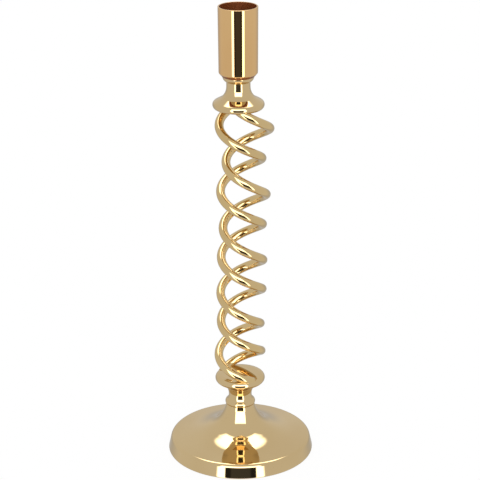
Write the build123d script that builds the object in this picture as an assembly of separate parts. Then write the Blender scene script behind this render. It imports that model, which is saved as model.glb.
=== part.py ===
from build123d import *
import math
import os

# All lengths are in millimetres and all angles in degrees.
# The origin is the middle of the underside of the felt, and +Z points up.

# Fits, and how far a cutting shape runs past the face that it opens
overrun = 1.0
slip_fit = 0.1
felt_fit = 0.3
thread_fit = 0.05

# Base: a spun sheet foot with a trumpet throat, a coned top, a skirt and a turned-in hem
base_wall = 1.0
base_height = 32.4
throat_radius = 9.2
throat_lean = 11.3
flare_waist_height = 22.55
flare_waist_angle = 33.5
flare_foot_height = 14.44
flare_foot_angle = 76.0
foot_radius = 48.01
skirt_flare = 2.07
ridge_height = 9.15
ridge_fillet = 2.8
hem_width = 4.51
hem_fillet = 0.8

# Cover disc, and the felt that stands proud of the hem
cover_thickness = 1.0
felt_proud = 0.1

# Shape that both knobs share; face and flank angles are measured from the upright
knob_radius = 16.31
rim_radius = 2.6
face_rise = 2.95
face_angle = 78.0
flank_angle = 61.2
cove_radius = 9.1
neck_radius = 7.545

# Lower knob, with a hollow curve from its neck to the bead that stands on the base
lower_rim_rise = 18.23
bead_proud = 2.303
bead_round = 2.16
bead_rise = 1.103
bead_hollow = 4.36

# Spiral: two round rods, wound left-handed, a little closer towards their ends
rod_diameter = 5.65
rod_inset = 0.2
rod_turns = 4.138
rod_end_wind = 15.6
rod_seat_depth = 2.0
spiral_height = 181.22

# Each rod's bearing at its foot, and how far its axis stands to the right at foot and head and bows between
rod_a_angle = 314.7
rod_a_foot_shift = -1.1
rod_a_head_shift = 7.2
rod_a_bow = -0.65
rod_b_angle = 152.6
rod_b_foot_shift = 0.25
rod_b_head_shift = 0.8
rod_b_bow = 1.1

# How finely a rod's line is drawn and its gaps are measured
arcs_per_turn = 4
gap_points_per_turn = 72

# Upper knob, with the cove, the neck and the quarter-round ring that carries the cup
upper_cove_angle = 50.2
upper_neck_length = 3.304
ring_height = 3.45
ring_inset = 0.18
ring_step = 0.46
ring_sagitta = 0.46

# Candle cup, drawn from sheet, with a well in its floor that locates it on the ring
candle_bore = 23.0
cup_height = 43.95
cup_rim_wall = 1.0
cup_waist_wall = 0.75
cup_chamfer_width = 2.0
cup_chamfer_height = 2.2
cup_floor = 1.0
cup_edge_fillet = 1.2
cup_lip_fillet = 0.3
well_wall = 1.245
well_depth = 3.7

# Screw and washer that hold the cup
cup_screw_diameter = 4.0
cup_screw_length = 12.0
cup_screw_hole_spare = 2.3
cup_screw_head_diameter = 7.8
cup_screw_head_height = 2.4
cup_screw_head_fillet = 0.8
cup_screw_slot_width = 1.0
cup_screw_slot_depth = 1.1
cup_washer_room = 0.7
cup_washer_thickness = 0.8

# Stud, washers and nut that hold the base
stud_diameter = 6.0
stud_grip = 12.5
stud_hole_spare = 1.0
stud_tail = 1.5
base_washer_room = 1.0
base_washer_thickness = 1.2
lock_washer_diameter = 10.6
lock_washer_thickness = 1.5
lock_washer_split = 1.0
nut_across_flats = 10.0
nut_height = 5.0
nut_chamfer = 0.6


def sine(angle):
    return math.sin(math.radians(angle))


def cosine(angle):
    return math.cos(math.radians(angle))


def tangent(angle):
    return math.tan(math.radians(angle))


# Radii that follow from the pieces beside them
ridge_radius = foot_radius - skirt_flare
hem_radius = foot_radius - hem_width
bead_radius = neck_radius + bead_proud
spiral_radius = knob_radius - rod_inset - rod_diameter / 2
bore_radius = candle_bore / 2
cup_rim_radius = bore_radius + cup_rim_wall
cup_waist_radius = bore_radius + cup_waist_wall
cup_foot_radius = cup_waist_radius - cup_chamfer_width
ring_radius = cup_foot_radius - ring_inset
well_seat_radius = neck_radius - well_wall
well_radius = well_seat_radius - slip_fit - cup_floor
cup_washer_radius = well_radius - cup_washer_room
cup_screw_hole_radius = cup_screw_diameter / 2 + slip_fit
base_washer_radius = throat_radius - base_wall - base_washer_room
stud_hole_radius = stud_diameter / 2 + slip_fit


def cove_end(cove_angle):
    """How far a knob's neck begins from the middle of its rim, past the flank and the cove."""
    flank_radius = knob_radius - rim_radius * (1 - cosine(flank_angle))
    cove_wide_radius = neck_radius + cove_radius * (1 - cosine(cove_angle))
    flank_rise = (flank_radius - cove_wide_radius) / tangent(flank_angle)
    return rim_radius * sine(flank_angle) + flank_rise + cove_radius * sine(cove_angle)


# Heights of the faces that meet, counted up from the floor
felt_thickness = base_wall + felt_proud
lower_rim_height = base_height + lower_rim_rise
lower_face_height = lower_rim_height + face_rise
rod_foot_height = lower_face_height - rod_seat_depth
upper_face_height = lower_face_height + spiral_height
rod_head_height = upper_face_height + rod_seat_depth
upper_rim_height = upper_face_height + face_rise
cove_top_height = upper_rim_height + cove_end(upper_cove_angle)
ring_foot_height = cove_top_height + upper_neck_length
seat_height = ring_foot_height + ring_height
cup_floor_height = seat_height + cup_floor
well_floor_height = cup_floor_height - well_depth
well_seat_height = well_floor_height - cup_floor
cup_rim_height = seat_height + cup_height


def turned(*edges):
    """Solid turned about the upright axis from a closed outline of radius and height."""
    return revolve(Plane.XZ * make_face(edges), Axis.Z)


def upright(radius, bottom, top):
    """Round bar on the upright axis between two heights."""
    return Pos(0, 0, bottom) * extrude(Circle(radius), top - bottom)


def washer(radius, hole_radius, bottom, thickness):
    disc = upright(radius, bottom, bottom + thickness)
    return disc - upright(hole_radius, bottom - overrun, bottom + thickness + overrun)


def knob_rim(height, below_angle, above_angle):
    """Rounded edge of a knob, which runs tangent into the flanks below and above it."""
    centre = (knob_radius - rim_radius, height)
    return CenterArc(centre, rim_radius, -below_angle, below_angle + above_angle)


def flare_arc(start, start_angle, end_angle, end_height):
    """Hollow arc that runs down and outwards and turns away from the upright."""
    radius = (start.Y - end_height) / (sine(end_angle) - sine(start_angle))
    centre = (start.X + radius * cosine(start_angle), start.Y + radius * sine(start_angle))
    return CenterArc(centre, radius, 180 + start_angle, end_angle - start_angle)


def base_outline():
    """Outer line of the base, from the stud hole over the throat and cone to the hem."""
    hem_height = felt_proud
    top = Line((stud_hole_radius, base_height), (throat_radius, base_height))
    throat = flare_arc(top @ 1, throat_lean, flare_waist_angle, flare_waist_height)
    flare = flare_arc(throat @ 1, flare_waist_angle, flare_foot_angle, flare_foot_height)
    cone = Line(flare @ 1, (ridge_radius, ridge_height))
    skirt = Line((ridge_radius, ridge_height), (foot_radius, hem_height))
    hem = Line((foot_radius, hem_height), (hem_radius, hem_height))
    line = Wire([top, throat, flare, cone, skirt, hem])
    ridge = line.vertices().sort_by_distance((ridge_radius, ridge_height))[0]
    line = line.fillet_2d(ridge_fillet, [ridge])
    fold = line.vertices().sort_by_distance((foot_radius, hem_height))[0]
    return line.fillet_2d(hem_fillet, [fold])


def base_shell():
    """Sheet of even thickness inside the outer line."""
    wall = offset(base_outline(), base_wall, side=Side.RIGHT, kind=Kind.TANGENT)
    return turned(*wall.edges())


def base_cover():
    """Disc that lies on the hem, inside the skirt."""
    top = felt_thickness + cover_thickness
    lean = (foot_radius - ridge_radius) / (ridge_height - felt_proud)
    skirt_wall = base_wall * math.hypot(1, lean)
    radius = foot_radius - (top - felt_proud) * lean - skirt_wall - slip_fit
    return upright(radius, felt_thickness, top)


def felt_pad():
    return upright(hem_radius - felt_fit, 0, felt_thickness)


def lower_knob():
    rim = knob_rim(lower_rim_height, flank_angle, face_angle)
    over = rim @ 1
    face_radius = over.X - (lower_face_height - over.Y) * tangent(face_angle)
    neck_top = lower_rim_height - cove_end(flank_angle)
    cove = CenterArc((neck_radius + cove_radius, neck_top), cove_radius, 180, -flank_angle)
    bead_middle = bead_radius - bead_round
    bead_height = base_height + bead_rise
    foot_angle = math.degrees(math.asin(bead_rise / bead_round))
    reach = bead_hollow + bead_round
    head_angle = math.degrees(math.acos((neck_radius + bead_hollow - bead_middle) / reach))
    neck_bottom = bead_height + reach * sine(head_angle)
    bead = CenterArc((bead_middle, bead_height), bead_round, -foot_angle, foot_angle + head_angle)
    hollow_centre = (neck_radius + bead_hollow, neck_bottom)
    hollow = CenterArc(hollow_centre, bead_hollow, 180 + head_angle, -head_angle)
    body = turned(
        Line((0, base_height), bead @ 0),
        bead,
        hollow,
        Line(hollow @ 1, cove @ 0),
        cove,
        Line(cove @ 1, rim @ 0),
        rim,
        Line(over, (face_radius, lower_face_height)),
        Line((face_radius, lower_face_height), (0, lower_face_height)),
        Line((0, lower_face_height), (0, base_height)),
    )
    tapped = stud_diameter / 2 + thread_fit
    hole_top = base_height + stud_grip + stud_hole_spare
    return body - upright(tapped, base_height - overrun, hole_top)


def upper_knob():
    rim = knob_rim(upper_rim_height, face_angle, flank_angle)
    under = rim @ 0
    face_radius = under.X - (under.Y - upper_face_height) * tangent(face_angle)
    cove_centre = (neck_radius + cove_radius, cove_top_height)
    cove = CenterArc(cove_centre, cove_radius, 180, upper_cove_angle)
    ring_foot = (neck_radius + ring_step, ring_foot_height)
    ring_head = (ring_radius, seat_height)
    body = turned(
        Line((0, upper_face_height), (face_radius, upper_face_height)),
        Line((face_radius, upper_face_height), under),
        rim,
        Line(rim @ 1, cove @ 1),
        cove,
        Line(cove @ 0, (neck_radius, ring_foot_height)),
        Line((neck_radius, ring_foot_height), ring_foot),
        SagittaArc(ring_foot, ring_head, -ring_sagitta),
        Line(ring_head, (0, seat_height)),
        Line((0, seat_height), (0, upper_face_height)),
    )
    well = upright(well_seat_radius, well_seat_height, seat_height + overrun)
    tapped = cup_screw_diameter / 2 + thread_fit
    hole_bottom = well_floor_height + cup_washer_thickness - cup_screw_length - cup_screw_hole_spare
    return body - well - upright(tapped, hole_bottom, seat_height + overrun)


def candle_cup():
    """Drawn cup: outer skin, bore for the candle, and a stepped floor with the screw well."""
    waist = seat_height + cup_chamfer_height
    bore_bottom = waist + cup_floor / 2
    outer = turned(
        *Polyline(
            (0, seat_height),
            (cup_foot_radius, seat_height),
            (cup_waist_radius, waist),
            (cup_rim_radius, cup_rim_height),
            (0, cup_rim_height),
            close=True,
        ).edges()
    )
    waist_edge = outer.edges().sort_by_distance((cup_waist_radius, 0, waist))[0]
    outer = fillet(waist_edge, cup_edge_fillet)
    outer += upright(well_radius + cup_floor, well_seat_height, cup_floor_height)
    bore = turned(
        *Polyline(
            (0, cup_floor_height),
            (cup_foot_radius - cup_floor, cup_floor_height),
            (bore_radius, bore_bottom),
            (bore_radius, cup_rim_height + overrun),
            (0, cup_rim_height + overrun),
            close=True,
        ).edges()
    )
    cup = outer - bore - upright(well_radius, well_floor_height, cup_floor_height + overrun)
    cup -= upright(cup_screw_hole_radius, well_seat_height - overrun, cup_floor_height)
    lip = cup.faces().sort_by(Axis.Z)[-1].edges()
    return fillet(lip, cup_lip_fillet)


def cup_washer():
    return washer(
        cup_washer_radius, cup_screw_hole_radius, well_floor_height, cup_washer_thickness
    )


def cup_screw():
    seat = well_floor_height + cup_washer_thickness
    top = seat + cup_screw_head_height
    head = upright(cup_screw_head_diameter / 2, seat, top)
    head = fillet(head.edges().sort_by(Axis.Z)[-1], cup_screw_head_fillet)
    slot = Pos(0, 0, top) * Box(
        cup_screw_head_diameter + overrun, cup_screw_slot_width, 2 * cup_screw_slot_depth
    )
    return head - slot + upright(cup_screw_diameter / 2, seat - cup_screw_length, seat)


def base_fasteners():
    """Stud, washer, split washer and nut, stacked under the top of the base."""
    washer_bottom = base_height - base_wall - base_washer_thickness
    lock_bottom = washer_bottom - lock_washer_thickness
    nut_bottom = lock_bottom - nut_height
    plain = washer(base_washer_radius, stud_hole_radius, washer_bottom, base_washer_thickness)
    split = Pos(lock_washer_diameter / 2, 0, lock_bottom) * Box(
        lock_washer_diameter, lock_washer_split, 2 * (lock_washer_thickness + overrun)
    )
    lock = washer(
        lock_washer_diameter / 2, stud_hole_radius, lock_bottom, lock_washer_thickness
    )
    hexagon = RegularPolygon(nut_across_flats / 2, 6, major_radius=False)
    nut = Pos(0, 0, nut_bottom) * extrude(hexagon, nut_height)
    nut = chamfer(nut.faces().sort_by(Axis.Z)[0].edges(), nut_chamfer)
    tapped = stud_diameter / 2 + thread_fit
    nut -= upright(tapped, nut_bottom - overrun, lock_bottom + overrun)
    stud = upright(stud_diameter / 2, nut_bottom - stud_tail, base_height + stud_grip)
    return {
        "base_stud": stud,
        "base_washer": plain,
        "base_lock_washer": lock - split,
        "base_nut": nut,
    }


def rod_point(angle, foot_shift, head_shift, bow, share):
    """Point and direction on a rod's centre line, from its foot (0) to its head (1)."""
    rise = rod_head_height - rod_foot_height
    lean = head_shift - foot_shift
    from_middle = 2 * share - 1
    bearing = angle - 360 * rod_turns * share - rod_end_wind * (from_middle**3 + 1)
    point = Vector(
        foot_shift + lean * share + bow * (1 - from_middle**2) + spiral_radius * cosine(bearing),
        spiral_radius * sine(bearing),
        rod_foot_height + rise * share,
    )
    turn_rate = math.radians(-360 * rod_turns - 6 * rod_end_wind * from_middle**2)
    direction = Vector(
        lean - 4 * bow * from_middle - spiral_radius * turn_rate * sine(bearing),
        spiral_radius * turn_rate * cosine(bearing),
        rise,
    )
    return point, direction.normalized()


def biarc(start, leave, end, arrive):
    """Two arcs that join two points along the given directions."""
    chord = end - start
    both = leave + arrive
    spread = 2 * (1 - leave.dot(arrive))
    along = chord.dot(both)
    reach = (math.sqrt(along**2 + spread * chord.dot(chord)) - along) / spread
    first = start + leave * reach
    second = end - arrive * reach
    middle = (first + second) * 0.5
    return [
        TangentArc(start, middle, tangent=leave),
        TangentArc(middle, end, tangent=second - first),
    ]


def rod_line(angle, foot_shift, head_shift, bow):
    """Centre line of a rod: a biarc for each part of a turn."""
    steps = math.ceil(rod_turns * arcs_per_turn)
    stops = [rod_point(angle, foot_shift, head_shift, bow, i / steps) for i in range(steps + 1)]
    arcs = []
    for (start, leave), (end, arrive) in zip(stops, stops[1:]):
        arcs += biarc(start, leave, end, arrive)
    return Wire(arcs)


def rod_gap(line):
    """Least gap between turns of one rod, measured on points of its centre line."""
    count = math.ceil(rod_turns * gap_points_per_turn)
    points = [line @ (i / count) for i in range(count + 1)]
    skip = gap_points_per_turn // 2
    gaps = [
        (points[i] - points[j]).length
        for i in range(count + 1)
        for j in range(i + skip, count + 1)
    ]
    return min(gaps) - rod_diameter


def spiral_rod(name, line, knobs):
    """Rod swept along its line, with both ends shaped to the knobs that they are brazed to."""
    section = Plane(line @ 0, z_dir=line % 0) * Circle(rod_diameter / 2)
    rod = sweep(section, path=line)
    expected = math.pi * rod_diameter**2 / 4 * line.length
    print(f"{name}: least gap {rod_gap(line):.2f} mm, volume {rod.volume / expected:.4f} of expected")
    for knob in knobs:
        rod -= knob
    return rod


lower = lower_knob()
upper = upper_knob()
line_a = rod_line(rod_a_angle, rod_a_foot_shift, rod_a_head_shift, rod_a_bow)
line_b = rod_line(rod_b_angle, rod_b_foot_shift, rod_b_head_shift, rod_b_bow)
pieces = {
    "felt_pad": felt_pad(),
    "base_cover": base_cover(),
    "base_shell": base_shell(),
    **base_fasteners(),
    "lower_knob": lower,
    "spiral_rod_a": spiral_rod("spiral_rod_a", line_a, (lower, upper)),
    "spiral_rod_b": spiral_rod("spiral_rod_b", line_b, (lower, upper)),
    "upper_knob": upper,
    "candle_cup": candle_cup(),
    "cup_washer": cup_washer(),
    "cup_screw": cup_screw(),
}

os.makedirs("parts", exist_ok=True)
for name, piece in pieces.items():
    export_step(piece, f"parts/{name}.step")
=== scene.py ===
import math

import bmesh
import bpy
from mathutils import Matrix, Vector, noise


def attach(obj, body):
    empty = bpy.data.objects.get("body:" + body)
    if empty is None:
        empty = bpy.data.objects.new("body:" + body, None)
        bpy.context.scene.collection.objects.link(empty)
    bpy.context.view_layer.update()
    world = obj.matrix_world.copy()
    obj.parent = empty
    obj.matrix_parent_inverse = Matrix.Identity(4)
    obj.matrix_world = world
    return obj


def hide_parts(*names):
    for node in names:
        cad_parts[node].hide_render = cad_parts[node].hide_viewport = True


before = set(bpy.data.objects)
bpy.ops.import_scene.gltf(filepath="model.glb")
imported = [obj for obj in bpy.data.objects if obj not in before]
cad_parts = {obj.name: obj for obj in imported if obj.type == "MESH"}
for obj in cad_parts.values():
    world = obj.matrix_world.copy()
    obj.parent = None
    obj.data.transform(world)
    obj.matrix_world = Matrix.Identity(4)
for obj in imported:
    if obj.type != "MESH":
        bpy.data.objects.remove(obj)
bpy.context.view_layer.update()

# Lengths below are in millimetres, and become metres as a piece is drawn
MM = 0.001
TURN_STEPS = 128
ARC_STEP = math.radians(4)
RUN_STEP = 1.6
RUN_END = 0.1

# Heights of the joints between the pieces
BASE_TOP = 32.4
LOWER_FACE = 53.58
UPPER_FACE = 234.8
CUP_SEAT = 256.05
CUP_RIM = 300.0

# The two rods: bearing at the foot, how far the axis stands to the right at foot and head, and its bow
ROD_A = (314.7, -1.1, 7.2, -0.65)
ROD_B = (152.6, 0.25, 0.8, 1.1)
ROD_RADIUS = 2.825
WINDING_RADIUS = 13.285
ROD_TURNS = 4.138
ROD_END_WIND = 15.6
ROD_FOOT = LOWER_FACE - 2.0
ROD_HEAD = UPPER_FACE + 2.0


class Value:
    """A socket of a node tree. Arithmetic on it adds Math nodes."""

    def __init__(self, tree, socket):
        self.tree = tree
        self.socket = socket

    def __add__(self, other):
        return self.tree.maths("ADD", self, other)

    def __radd__(self, other):
        return self.tree.maths("ADD", other, self)

    def __sub__(self, other):
        return self.tree.maths("SUBTRACT", self, other)

    def __rsub__(self, other):
        return self.tree.maths("SUBTRACT", other, self)

    def __mul__(self, other):
        return self.tree.maths("MULTIPLY", self, other)

    def __rmul__(self, other):
        return self.tree.maths("MULTIPLY", other, self)

    def step(self, low, high):
        """0 at low, 1 at high, and a smooth rise between them."""
        sockets = {"Value": self, "From Min": low, "From Max": high}
        return self.tree.node("ShaderNodeMapRange", {"interpolation_type": "SMOOTHSTEP"}, sockets)


class Tree:
    """Node tree of a material or of the world."""

    def __init__(self, owner):
        owner.use_nodes = True
        self.tree = owner.node_tree
        self.tree.nodes.clear()

    def node(self, kind, settings=None, sockets=None, output=0):
        made = self.tree.nodes.new(kind)
        for key, value in (settings or {}).items():
            setattr(made, key, value)
        for key, value in (sockets or {}).items():
            if isinstance(value, Value):
                self.tree.links.new(value.socket, made.inputs[key])
            else:
                made.inputs[key].default_value = value
        return Value(self, made.outputs[output]) if made.outputs else None

    def maths(self, operation, *terms):
        return self.node("ShaderNodeMath", {"operation": operation}, dict(enumerate(terms)))

    def place(self):
        return self.node("ShaderNodeTexCoord", output="Object")

    def stretched(self, *scale):
        return self.node("ShaderNodeMapping", {}, {"Vector": self.place(), "Scale": scale})

    def grain(self, vector, scale, detail=3.0, roughness=0.5):
        sockets = {"Vector": vector, "Scale": scale, "Detail": detail, "Roughness": roughness}
        return self.node("ShaderNodeTexNoise", {}, sockets)

    def blend(self, share, first, second):
        """Colour between two colours. A Mix node has its colours at sockets 6 and 7 and its colour out at 2."""
        sockets = {0: share, 6: first, 7: second}
        return self.node("ShaderNodeMix", {"data_type": "RGBA"}, sockets, output=2)

    def bump(self, height, strength, distance):
        sockets = {"Height": height, "Strength": strength, "Distance": distance * MM}
        return self.node("ShaderNodeBump", {}, sockets)

    def surface(self, **sockets):
        named = {key.replace("_", " ").title(): value for key, value in sockets.items()}
        shader = self.node("ShaderNodeBsdfPrincipled", {}, named)
        self.node("ShaderNodeOutputMaterial", {}, {"Surface": shader})


def colour(red, green, blue):
    """A colour given as it is seen on screen, from 0 to 255."""
    shares = [value / 255 for value in (red, green, blue)]
    return [s / 12.92 if s <= 0.04045 else ((s + 0.055) / 1.055) ** 2.4 for s in shares] + [1]


# Finishes


def polished_brass(name, polish_lines, light, deep, shaded_bore_radius=0.0):
    """Buffed and lacquered brass, with a faint haze and lines from the buff. Inside the radius it is rougher,
    less metallic bare brass, coloured a dark brown that is painted shade for the inside of the cup.
    """
    finish = bpy.data.materials.new(name)
    tree = Tree(finish)
    place = tree.place()
    haze = tree.grain(place, 60.0)
    tone = tree.grain(place, 22.0, 2.0)
    lines = tree.grain(tree.stretched(*polish_lines), 1.0, 4.0, 0.65)
    polished = tree.blend(tone.step(0.3, 0.7), colour(*light), colour(*deep))
    rough = 0.032 + haze * 0.024 + lines.step(0.55, 0.8) * 0.02
    metal = 1.0
    if shaded_bore_radius:
        across = tree.node("ShaderNodeVectorMath", {"operation": "MULTIPLY"}, {0: place, 1: (1, 1, 0)})
        radius = tree.node("ShaderNodeVectorMath", {"operation": "LENGTH"}, {0: across}, output="Value")
        shaded_bore = 1 - radius.step((shaded_bore_radius - 0.05) * MM, (shaded_bore_radius + 0.05) * MM)
        stain = tree.grain(place, 140.0, 4.0)
        # Painted shade: these dark browns darken the cup's bore, over a rougher bare-brass finish, mottled by
        # the noise
        bore_brown_and_shade = tree.blend(stain, colour(118, 58, 24), colour(150, 82, 40))
        polished = tree.blend(shaded_bore, polished, bore_brown_and_shade)
        rough = rough + shaded_bore * (0.3 + stain * 0.15)
        metal = 1 - shaded_bore * 0.45
    tree.surface(
        base_color=polished,
        metallic=metal,
        roughness=rough,
        normal=tree.bump(lines, 0.015, 0.02),
    )
    return finish


def zinc_plate(name):
    """Zinc plated steel, with a cloudy blue-grey lustre."""
    finish = bpy.data.materials.new(name)
    tree = Tree(finish)
    cloud = tree.grain(tree.place(), 400.0, 5.0)
    brush = tree.grain(tree.stretched(900, 900, 5200), 1.0, 4.0)
    tree.surface(
        base_color=tree.blend(cloud, colour(176, 178, 180), colour(202, 200, 192)),
        metallic=1.0,
        roughness=0.24 + cloud * 0.16 + brush * 0.06,
        normal=tree.bump(brush, 0.08, 0.03),
    )
    return finish


def grey_board(name):
    """Pressed board, with fibres and flecks."""
    finish = bpy.data.materials.new(name)
    tree = Tree(finish)
    pulp = tree.grain(tree.place(), 260.0, 8.0, 0.6)
    fleck = tree.grain(tree.stretched(1500, 700, 900), 1.0, 3.0).step(0.66, 0.74)
    body = tree.blend(pulp, colour(139, 124, 103), colour(171, 155, 130))
    tree.surface(
        base_color=tree.blend(fleck * 0.6, body, colour(96, 84, 70)),
        roughness=0.84 + pulp * 0.12,
        normal=tree.bump(pulp, 0.35, 0.08),
    )
    return finish


def pressed_felt(name):
    """Dark felt: matted fibres that lie every way."""
    finish = bpy.data.materials.new(name)
    tree = Tree(finish)
    one_way = tree.grain(tree.stretched(2600, 420, 900), 1.0, 4.0)
    other_way = tree.grain(tree.stretched(420, 2600, 900), 1.0, 4.0)
    clump = tree.grain(tree.place(), 180.0, 4.0)
    fibres = one_way * 0.5 + other_way * 0.5
    body = tree.blend(clump, colour(38, 36, 33), colour(58, 54, 49))
    tree.surface(
        base_color=tree.blend(fibres.step(0.52, 0.66), body, colour(92, 86, 78)),
        roughness=0.9 + clump * 0.1,
        sheen_weight=0.4,
        sheen_roughness=0.6,
        normal=tree.bump(fibres, 0.6, 0.12),
    )
    return finish


# Inside 11.6 mm the cup is rougher bare brass with painted shade, a dark brown
cup_brass = polished_brass("cup_brass", (40, 40, 2600), (231, 190, 133), (226, 183, 126), 11.6)
turned_brass = polished_brass("turned_brass", (40, 40, 2600), (220, 194, 147), (215, 188, 140))
wound_brass = polished_brass("wound_brass", (900, 900, 500), (222, 195, 143), (217, 189, 136))
zinc = zinc_plate("zinc_plate")
board = grey_board("cover_board")
felt = pressed_felt("pressed_felt")


# Pieces


def finished(name, mesh, finish, node):
    """Turns a bmesh into the piece that stands for a CAD node."""
    bmesh.ops.recalc_face_normals(mesh, faces=mesh.faces)
    for face in mesh.faces:
        face.smooth = True
    data = bpy.data.meshes.new(name)
    mesh.to_mesh(data)
    mesh.free()
    data.materials.append(finish)
    piece = bpy.data.objects.new(name, data)
    bpy.context.scene.collection.objects.link(piece)
    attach(piece, "root")
    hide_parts(node)
    return piece


def run(mesh, tip, reach):
    """Draws a straight run from the tip, with a short step at each end that keeps the run's shading even."""
    ends = RUN_END * MM
    if reach.length < 4 * ends:
        parts = [(reach, 1)]
    else:
        short = reach.normalized() * ends
        middle = reach - 2 * short
        parts = [(short, 1), (middle, max(1, round(middle.length / (RUN_STEP * MM)))), (short, 1)]
    for part, steps in parts:
        drawn = bmesh.ops.spin(
            mesh, geom=[tip], axis=(0, -1, 0), angle=0, dvec=part / steps, steps=steps
        )
        tip = drawn["geom_last"][0]
    return tip


def turned(corners):
    """Spins a closed outline about the upright axis. Each corner is a radius, a height and its rounding."""
    mesh = bmesh.new()
    points = [Vector((radius, 0, height)) * MM for radius, height, _ in corners]
    tip = mesh.verts.new(points[0])
    for i in range(1, len(points) + 1):
        here = points[i % len(points)]
        ahead = points[(i + 1) % len(points)]
        rounding = corners[i % len(points)][2] * MM
        arrive = here - points[i - 1]
        leave = ahead - here
        turn = math.atan2(
            arrive.x * leave.z - arrive.z * leave.x, arrive.x * leave.x + arrive.z * leave.z
        )
        cut = rounding * math.tan(abs(turn) / 2)
        start = here - arrive.normalized() * cut
        if (start - tip.co).length > RUN_END * MM * 0.02:
            tip = run(mesh, tip, start - tip.co)
        if rounding:
            side = Vector((-arrive.z, 0, arrive.x)).normalized() * math.copysign(rounding, turn)
            drawn = bmesh.ops.spin(
                mesh,
                geom=[tip],
                cent=tip.co + side,
                axis=(0, -1, 0),
                angle=turn,
                steps=max(4, math.ceil(abs(turn) / ARC_STEP)),
            )
            tip = drawn["geom_last"][0]
    bmesh.ops.remove_doubles(mesh, verts=mesh.verts, dist=1e-6)
    bmesh.ops.spin(
        mesh,
        geom=mesh.verts[:] + mesh.edges[:],
        axis=(0, 0, 1),
        angle=math.tau,
        steps=TURN_STEPS,
        use_merge=True,
    )
    bmesh.ops.remove_doubles(mesh, verts=mesh.verts, dist=1e-6)
    return mesh


def rod_place(bearing, foot_shift, head_shift, bow, share):
    """Place on a rod's centre line, from its foot (0) to its head (1), with the line along Z."""
    from_middle = 2 * share - 1
    lean = head_shift - foot_shift
    rise = ROD_HEAD - ROD_FOOT
    angle = math.radians(bearing - 360 * ROD_TURNS * share - ROD_END_WIND * (from_middle**3 + 1))
    turn_rate = math.radians(-360 * ROD_TURNS - 6 * ROD_END_WIND * from_middle**2)
    outward = Vector((math.cos(angle), math.sin(angle), 0))
    onward = Vector((-math.sin(angle), math.cos(angle), 0))
    axis = Vector((foot_shift + lean * share + bow * (1 - from_middle**2), 0, ROD_FOOT + rise * share))
    along = Vector((lean - 4 * bow * from_middle, 0, rise)) + onward * WINDING_RADIUS * turn_rate
    along.normalize()
    across = along.cross(outward).normalized()
    turn = Matrix((across.cross(along), across, along)).transposed()
    return Matrix.Translation((axis + outward * WINDING_RADIUS) * MM) @ turn.to_4x4()


def wound_rod(*route):
    """A round section drawn along a rod's centre line, step by step."""
    steps = math.ceil(ROD_TURNS * 64)
    places = [rod_place(*route, i / steps) for i in range(steps + 1)]
    mesh = bmesh.new()
    bmesh.ops.create_circle(mesh, radius=ROD_RADIUS * MM, segments=36, matrix=places[0])
    rim = mesh.edges[:]
    for here, ahead in zip(places, places[1:]):
        drawn = bmesh.ops.extrude_edge_only(mesh, edges=rim)["geom"]
        tips = [part for part in drawn if isinstance(part, bmesh.types.BMVert)]
        rim = [part for part in drawn if isinstance(part, bmesh.types.BMEdge) and part.is_boundary]
        bmesh.ops.transform(mesh, verts=tips, matrix=ahead @ here.inverted())
    bmesh.ops.holes_fill(mesh, edges=[e for e in mesh.edges if e.is_boundary], sides=0)
    return mesh


CUP_OUTLINE = [
    (2.1, 252.35, 0),
    (6.2, 252.35, 0.4),
    (6.2, CUP_SEAT, 0.3),
    (10.25, CUP_SEAT, 0.2),
    (12.25, 258.25, 1.2),
    (12.5, CUP_RIM, 0.3),
    (11.5, CUP_RIM, 0.3),
    (11.5, 258.75, 0.8),
    (9.25, 257.05, 0.8),
    (5.2, 257.05, 0.5),
    (5.2, 253.35, 0.4),
    (2.1, 253.35, 0),
]

UPPER_KNOB_OUTLINE = [
    (0, UPPER_FACE, 0),
    (12.335, UPPER_FACE, 0.3),
    (21.089, 236.66, 2.6),
    (10.82, 242.305, 0.2),
    (7.545, 245.034, 8.9),
    (7.545, 252.6, 0.1),
    (8.005, 252.6, 0.05),
    (9.871, 253.826, 4.58),
    (10.07, CUP_SEAT, 0.08),
    (6.3, CUP_SEAT, 0.2),
    (6.3, 252.35, 0),
    (2.05, 252.35, 0),
    (2.05, 239.85, 0),
    (0, 239.85, 0),
]

LOWER_KNOB_OUTLINE = [
    (3.05, BASE_TOP, 0),
    (9.545, BASE_TOP, 0),
    (10.477, 33.97, 2.15),
    (7.545, 36.457, 4.35),
    (7.545, 44.274, 9.1),
    (21.089, 51.72, 2.6),
    (12.335, LOWER_FACE, 0.3),
    (0, LOWER_FACE, 0),
    (0, 45.9, 0),
    (3.05, 45.9, 0),
]

BASE_OUTLINE = [
    (3.1, BASE_TOP, 0),
    (9.2, BASE_TOP, 0.15),
    (10.264, 27.077, 26.8),
    (16.1, 18.3, 18.8),
    (29.2, 12.0, 45.0),
    (45.94, 9.15, 2.8),
    (48.01, 0.1, 0.8),
    (43.5, 0.1, 0.2),
    (43.5, 1.1, 0.2),
    (46.755, 1.1, 0.2),
    (45.114, 8.276, 1.8),
    (28.893, 11.038, 46.0),
    (15.419, 17.518, 19.8),
    (9.322, 26.689, 28.4),
    (8.38, 31.4, 0),
    (3.1, 31.4, 0),
]

finished("brass_cup", turned(CUP_OUTLINE), cup_brass, "candle_cup")
finished("brass_upper_knob", turned(UPPER_KNOB_OUTLINE), turned_brass, "upper_knob")
finished("brass_lower_knob", turned(LOWER_KNOB_OUTLINE), turned_brass, "lower_knob")
finished("brass_base", turned(BASE_OUTLINE), turned_brass, "base_shell")
finished("brass_rod_a", wound_rod(*ROD_A), wound_brass, "spiral_rod_a")
finished("brass_rod_b", wound_rod(*ROD_B), wound_brass, "spiral_rod_b")

FELT_OUTLINE = [
    (0, 0, 0),
    (43.2, 0, 0.45),
    (43.2, 1.1, 0.3),
    (0, 1.1, 0),
]


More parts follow.
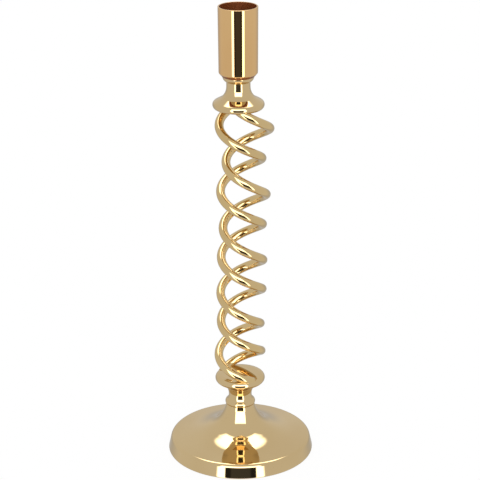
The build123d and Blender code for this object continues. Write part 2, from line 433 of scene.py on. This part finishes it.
def felt_disc():
    """Felt with an uneven underside, pressed a little where its fibres are thin."""
    mesh = turned(FELT_OUTLINE)
    for vert in mesh.verts:
        if vert.co.z < 0.5 * MM:
            vert.co.z += 0.06 * MM * (1 + noise.noise(vert.co * 400))
    return mesh


finished("felt_disc", felt_disc(), felt, "felt_pad")

carried_over = {
    "cup_screw": zinc,
    "cup_washer": zinc,
    "base_stud": zinc,
    "base_washer": zinc,
    "base_lock_washer": zinc,
    "base_nut": zinc,
    "base_cover": board,
}
for node, finish in carried_over.items():
    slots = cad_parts[node].data.materials
    slots.clear()
    slots.append(finish)


# Floor, studio and camera


def studio_floor():
    mesh = bmesh.new()
    bmesh.ops.create_grid(mesh, x_segments=2, y_segments=2, size=3.0)
    data = bpy.data.meshes.new("studio_floor")
    mesh.to_mesh(data)
    mesh.free()
    paper = bpy.data.materials.new("white_paper")
    tree = Tree(paper)
    camera_ray = tree.node("ShaderNodeLightPath", output="Is Camera Ray")
    white = tree.node("ShaderNodeEmission")
    pale = tree.node("ShaderNodeBsdfDiffuse", {}, {"Color": (0.85, 0.85, 0.85, 1)})
    shown = tree.node("ShaderNodeMixShader", {}, {0: camera_ray * 0.93, 1: pale, 2: white})
    tree.node("ShaderNodeOutputMaterial", {}, {"Surface": shown})
    data.materials.append(paper)
    floor = bpy.data.objects.new("studio_floor", data)
    bpy.context.scene.collection.objects.link(floor)
    floor.visible_glossy = False


def studio_tent():
    """A pale tent: a dark gap low in front, bright panels beside and above it, and a soft box above the back."""
    world = bpy.data.worlds.new("studio_tent")
    bpy.context.scene.world = world
    tree = Tree(world)
    towards = tree.node("ShaderNodeTexCoord", output="Generated")
    x, y, z = [tree.node("ShaderNodeSeparateXYZ", {}, {"Vector": towards}, output=i) for i in range(3)]
    bearing = tree.maths("DEGREES", tree.maths("ARCTAN2", x, -1 * y))
    height = tree.maths("DEGREES", tree.maths("ARCSINE", z))
    aside = tree.maths("ABSOLUTE", bearing)
    low = (1 - height.step(4, 9)) * height.step(-45, -38)
    gap = (1 - aside.step(23, 25)) * low
    strips = aside.step(23, 25) * (1 - aside.step(34, 38)) * low
    over = (1 - aside.step(31, 35)) * height.step(4, 9) * (1 - height.step(34, 44))
    wide = tree.maths("ABSOLUTE", tree.maths("DIVIDE", x, z))
    back = tree.maths("DIVIDE", y, z)
    deep = back.step(0.1, 0.24) * (1 - back.step(0.52, 0.7))
    box = (1 - wide.step(0.38, 0.56)) * deep * height.step(0, 5)
    shade = aside.step(110, 150) * (1 - height.step(-8, 14))
    dark = gap * (0.72 - (1 - aside.step(13, 17)) * 0.04) + shade * 0.2
    level = 0.74 - dark + (strips + over + box) * 2.9
    camera_ray = tree.node("ShaderNodeLightPath", output="Is Camera Ray")
    strength = level * (1 - camera_ray) + camera_ray
    light = tree.node("ShaderNodeBackground", {}, {"Color": (1, 1, 1, 1), "Strength": strength})
    tree.node("ShaderNodeOutputWorld", {}, {"Surface": light})


def camera():
    data = bpy.data.cameras.new("camera")
    data.sensor_width = 36
    data.lens = 131.741
    view = bpy.data.objects.new("camera", data)
    bpy.context.scene.collection.objects.link(view)
    tilt = Matrix.Rotation(math.pi / 2 - 0.3642, 4, "X") @ Matrix.Rotation(-0.006, 4, "Z")
    view.matrix_world = Matrix.Translation((0, -1.05194, 0.54827)) @ tilt
    data.shift_x = 0.7 / 480
    bpy.context.scene.camera = view


studio_floor()
studio_tent()
camera()
bpy.context.scene.view_settings.view_transform = "Standard"
